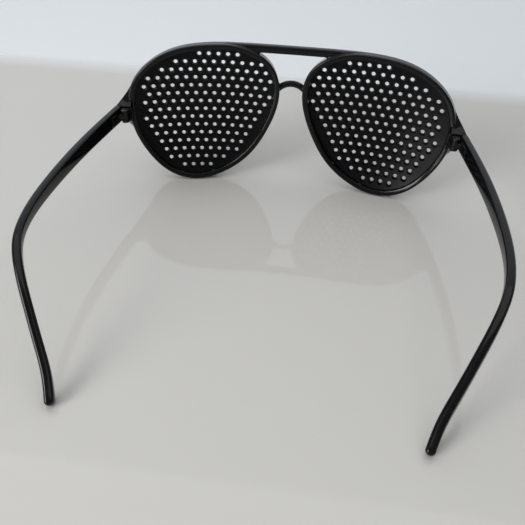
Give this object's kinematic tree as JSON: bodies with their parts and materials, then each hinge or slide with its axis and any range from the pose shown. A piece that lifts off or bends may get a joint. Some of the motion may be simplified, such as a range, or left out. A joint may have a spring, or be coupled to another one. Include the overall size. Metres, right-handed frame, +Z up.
{
  "type": "pinhole glasses",
  "caption": "Black aviator-shaped pinhole glasses: a rimmed front with a brow bar and a nose arch, perforated opaque lenses, and folding arms on screwed hinges.",
  "frame": {"origin": "on the table, under the middle of the open glasses, which stand on the two rims and the two arm tips", "axes": "+X across the face towards the wearer's right, +Y the way the wearer looks, +Z up"},
  "size_m": [0.151, 0.1416, 0.0587],
  "materials": {
    "frame_plastic": "moulded black plastic, polished",
    "lens_plastic": "moulded black plastic, half gloss",
    "hinge_metal": "black lacquered hinge leaf",
    "screw_metal": "blackened steel screw"
  },
  "bodies": {
    "front": {"front_frame": "frame_plastic", "left_pinhole_lens": "lens_plastic", "right_pinhole_lens": "lens_plastic", "left_front_hinge_leaf": "hinge_metal", "right_front_hinge_leaf": "hinge_metal", "left_hinge_screw": "screw_metal", "right_hinge_screw": "screw_metal"},
    "left_side_arm": {"left_arm": "frame_plastic", "left_arm_hinge_leaf": "hinge_metal"},
    "right_side_arm": {"right_arm": "frame_plastic", "right_arm_hinge_leaf": "hinge_metal"}
  },
  "joints": [
    {"name": "left_arm_fold", "type": "hinge", "parent": "front", "child": "left_side_arm", "pos_m": [-0.0657, 0.0508, 0.0312], "axis": [0, 0, 1], "range_deg": [0, 84]},
    {"name": "right_arm_fold", "type": "hinge", "parent": "front", "child": "right_side_arm", "pos_m": [0.0657, 0.0508, 0.0312], "axis": [0, 0, -1], "range_deg": [0, 77]}
  ]
}
